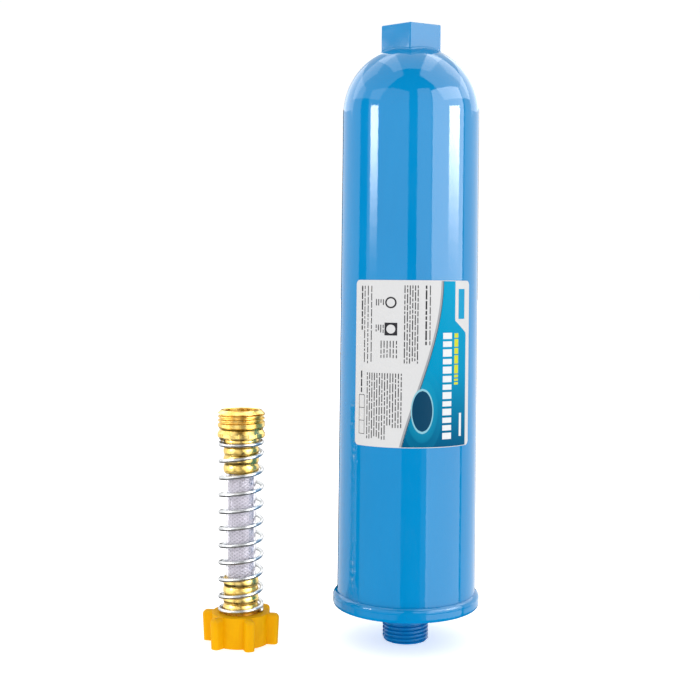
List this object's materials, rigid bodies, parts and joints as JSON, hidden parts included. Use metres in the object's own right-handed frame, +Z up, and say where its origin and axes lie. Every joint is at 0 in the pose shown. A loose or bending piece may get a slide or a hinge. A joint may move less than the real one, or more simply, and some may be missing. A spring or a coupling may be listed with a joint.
{
  "type": "inline water filter",
  "caption": "Domed inline water filter bottle with female hose inlet and male outlet, and a flexible spring-guarded hose protector with a winged swivel nut.",
  "frame": {"origin": "centre of the filter's outlet end, where it stands", "axes": "+Z up the filter's axis to the inlet, +X right and -Y to the front, where the label is"},
  "size_m": [0.1603, 0.0846, 0.3513],
  "materials": {
    "bottle_blue": "gloss",
    "cap_blue": "satin",
    "rubber_black": "matte",
    "grid_white": "satin",
    "mesh_screen": "matte",
    "filter_pad": "matte",
    "carbon_granules": "matte",
    "kdf_granules": "matte",
    "label_film": "satin",
    "nut_yellow": "satin",
    "brass": "polished",
    "zinc_steel": "satin",
    "hose_clear": "gloss",
    "hose_yarn": "matte"
  },
  "bodies": {
    "filter": {"housing": "bottle_blue", "end_cap": "cap_blue", "inlet_washer": "rubber_black", "outlet_grid": "grid_white", "outlet_screen": "mesh_screen", "outlet_pad": "filter_pad", "carbon_bed": "carbon_granules", "separator_pad": "filter_pad", "kdf_bed": "kdf_granules", "inlet_pad": "filter_pad", "inlet_screen": "mesh_screen", "inlet_grid": "grid_white", "label": "label_film"},
    "hose_tail": {"tailpiece": "brass", "lower_ferrule": "brass", "hose_liner": "hose_clear", "hose_braid": "hose_yarn", "hose_cover": "hose_clear", "spring": "zinc_steel"},
    "swivel_nut": {"swivel_nut": "nut_yellow", "nut_washer": "rubber_black"},
    "hose_head": {"male_fitting": "brass", "upper_ferrule": "brass"}
  },
  "joints": [
    {"name": "protector_lift", "type": "slide", "parent": "filter", "child": "hose_tail", "axis": [0, 0, 1], "range_m": [0, 0.36]},
    {"name": "nut_swivel", "type": "hinge", "parent": "hose_tail", "child": "swivel_nut", "pos_m": [-0.0955, -0.008, 0], "axis": [0, 0, 1], "continuous": true},
    {"name": "hose_bend", "type": "hinge", "parent": "hose_tail", "child": "hose_head", "pos_m": [-0.0955, -0.008, 0.06825], "axis": [1, 0, 0], "range_deg": [-60, 60], "stiffness_Nm_per_rad": 0.6, "deforming": ["hose_liner", "hose_braid", "hose_cover", "spring"]}
  ]
}
